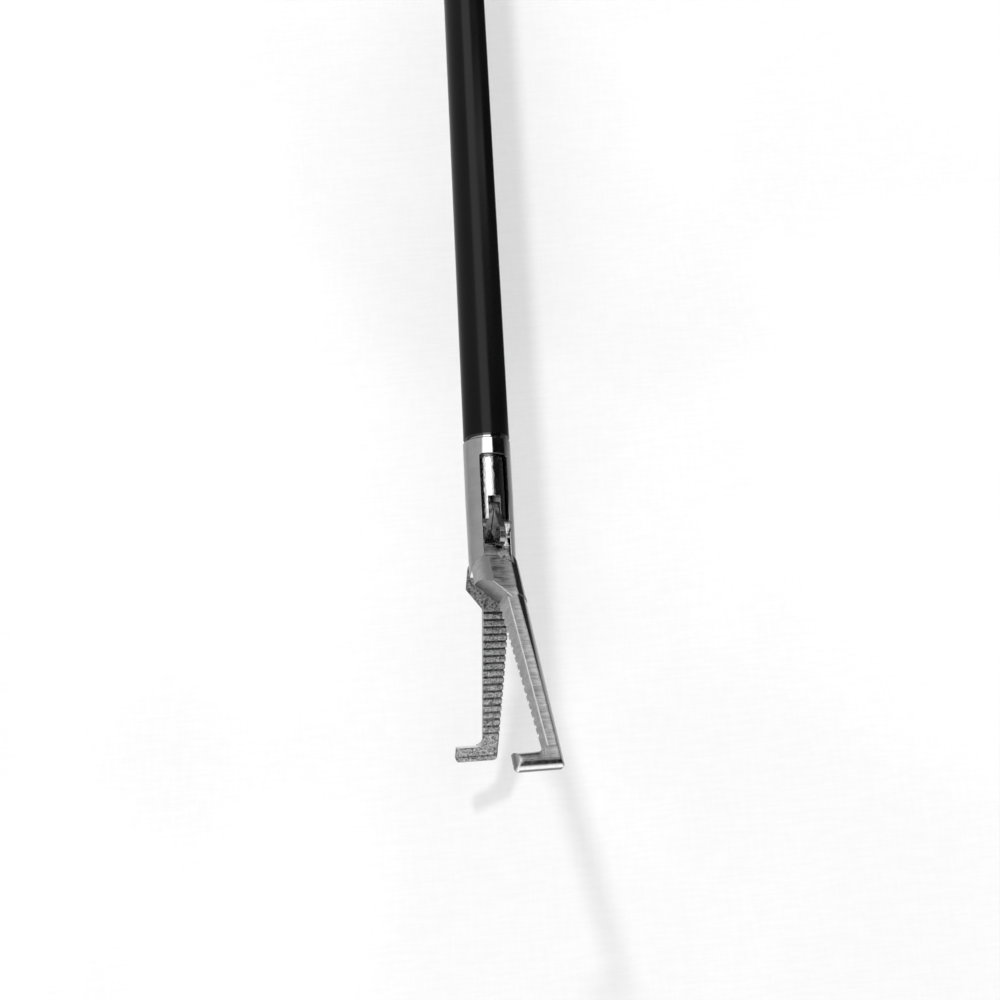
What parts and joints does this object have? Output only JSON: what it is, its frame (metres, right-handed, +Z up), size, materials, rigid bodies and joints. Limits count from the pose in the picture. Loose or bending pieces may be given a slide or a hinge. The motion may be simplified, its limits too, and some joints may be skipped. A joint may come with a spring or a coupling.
{
  "type": "grasping_forceps",
  "caption": "Long insulated grasping forceps with right angle serrated jaws, a turning knob and a ring handle, lying on its side with the jaws open",
  "frame": {"origin": "centre of the insulation sleeve's distal end, on the shaft's axis", "axes": "+Y along the shaft to the handle, +Z up as it lies on a table, +X to the side the rings point"},
  "size_m": [0.1112, 0.4284, 0.0294],
  "materials": {
    "jaw_steel": "ground and polished",
    "clevis_steel": "polished",
    "link_steel": "satin",
    "rod_steel": "satin",
    "tube_steel": "satin",
    "hub_steel": "satin",
    "contact_brass": "plain",
    "black_sleeve": "satin",
    "black_plastic": "fine grain",
    "seal_rubber": "matte",
    "cap_rubber": "matte"
  },
  "bodies": {
    "handle": {"handle_body": "black_plastic", "handle_cover": "black_plastic", "cover_screws": "hub_steel", "lever_pin": "hub_steel", "connector_pin": "hub_steel", "contact_plunger": "contact_brass"},
    "shaft": {"shaft_hub": "hub_steel", "rotation_knob": "black_plastic", "shaft_tube": "tube_steel", "insulation_sleeve": "black_sleeve", "rod_seal": "seal_rubber", "flush_port": "hub_steel", "flush_cap": "cap_rubber", "clevis": "clevis_steel", "jaw_pivot_pin": "clevis_steel"},
    "lever": {"thumb_lever": "black_plastic"},
    "rod": {"push_rod": "rod_steel", "rod_ball": "rod_steel", "rod_head": "rod_steel", "yoke_pin": "rod_steel"},
    "jaw_up": {"upper_jaw": "jaw_steel", "upper_link_rivet": "link_steel"},
    "jaw_low": {"lower_jaw": "jaw_steel", "lower_link_rivet": "link_steel"},
    "link_up": {"upper_link": "link_steel"},
    "link_low": {"lower_link": "link_steel"}
  },
  "joints": [
    {"name": "lever_swing", "type": "hinge", "parent": "handle", "child": "lever", "pos_m": [0.00595, 0.3424, -0.00078], "axis": [-0.1305, 0, -0.9914], "range_deg": [0, 11.64]},
    {"name": "shaft_turn", "type": "hinge", "parent": "handle", "child": "shaft", "pos_m": [0, 0.3164, 0], "axis": [0, 1, 0], "continuous": true},
    {"name": "rod_slide", "type": "slide", "parent": "shaft", "child": "rod", "axis": [0, 1, 0], "range_m": [0, 0.00122]},
    {"name": "upper_jaw_swing", "type": "hinge", "parent": "shaft", "child": "jaw_up", "pos_m": [0, -0.013, 0], "axis": [0.9527, 0, -0.304], "range_deg": [0, 27.01]},
    {"name": "lower_jaw_swing", "type": "hinge", "parent": "shaft", "child": "jaw_low", "pos_m": [0, -0.013, 0], "axis": [-0.9527, 0, 0.304], "range_deg": [0, 27.01]},
    {"name": "upper_link_swing", "type": "hinge", "parent": "rod", "child": "link_up", "pos_m": [0, -0.00787, 0], "axis": [-0.9527, 0, 0.304], "range_deg": [0, 24.05]},
    {"name": "lower_link_swing", "type": "hinge", "parent": "rod", "child": "link_low", "pos_m": [0, -0.00787, 0], "axis": [0.9527, 0, -0.304], "range_deg": [0, 24.05]}
  ],
  "couplings": [
    {"joint": "rod_slide", "follows": "lever_swing", "m_per_rad": 0.006},
    {"joint": "upper_jaw_swing", "follows": "lever_swing", "ratio": 2.3201},
    {"joint": "lower_jaw_swing", "follows": "lever_swing", "ratio": 2.3201},
    {"joint": "upper_link_swing", "follows": "lever_swing", "ratio": 2.0661},
    {"joint": "lower_link_swing", "follows": "lever_swing", "ratio": 2.0661}
  ]
}
